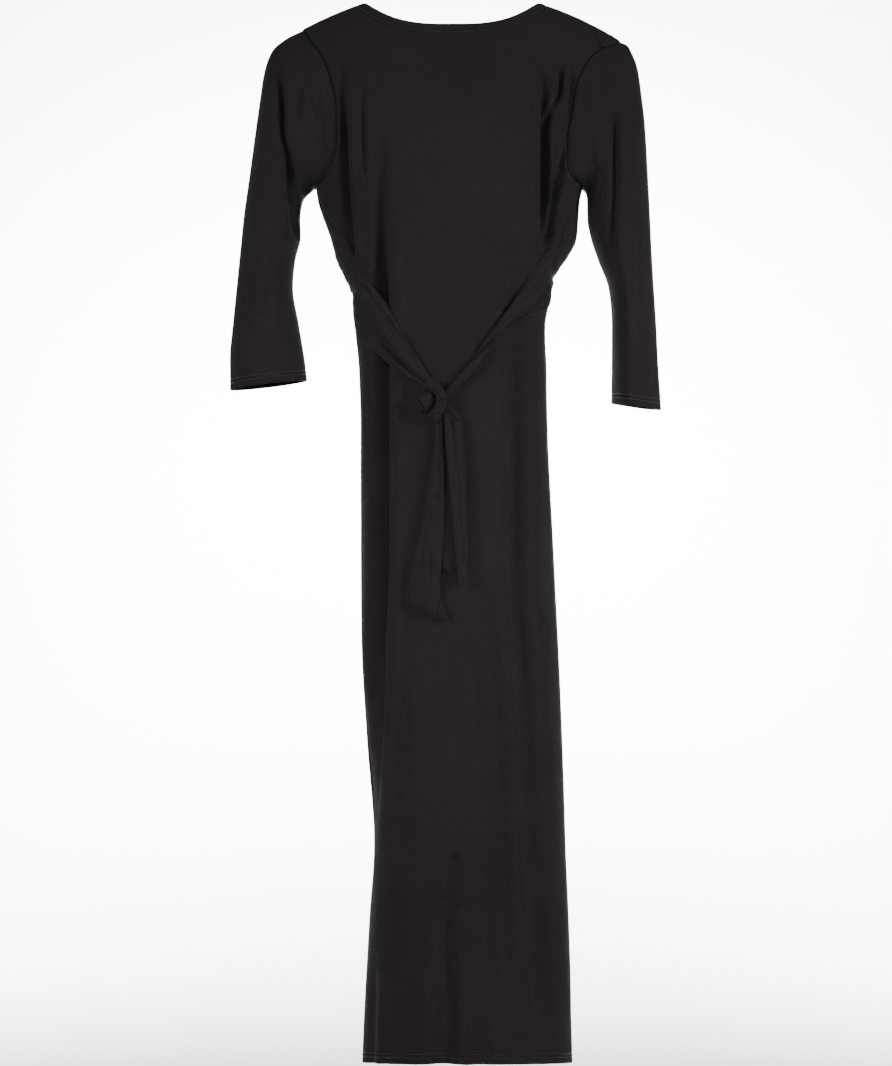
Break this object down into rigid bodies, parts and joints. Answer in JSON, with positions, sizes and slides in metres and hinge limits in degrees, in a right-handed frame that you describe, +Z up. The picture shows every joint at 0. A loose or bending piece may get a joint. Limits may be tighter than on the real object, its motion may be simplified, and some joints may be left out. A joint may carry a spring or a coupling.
{
  "type": "jersey midi dress",
  "caption": "Long column dress in thin dark jersey, hanging as worn: scoop neck with a self band, three-quarter sleeves, side ties knotted at the centre back with two hanging tails",
  "frame": {"origin": "midway between the two neck points of the shoulders, at the height of the shoulder tops, where the wearer's shoulders hold the dress", "axes": "+Z up along the body, the back of the dress faces -Y and the front +Y, +X towards the wearer's right"},
  "size_m": [0.5193, 0.1747, 1.2748],
  "materials": {
    "jersey": "thin stretch jersey, near black, with a soft low sheen"
  },
  "bodies": {
    "root": {"back_panel": "jersey", "front_panel": "jersey", "sleeve_left": "jersey", "sleeve_right": "jersey", "neckband": "jersey", "tie_left": "jersey", "tie_right": "jersey", "knot_wrap": "jersey", "knot_loop": "jersey", "tail_left": "jersey", "tail_right": "jersey"}
  },
  "joints": []
}
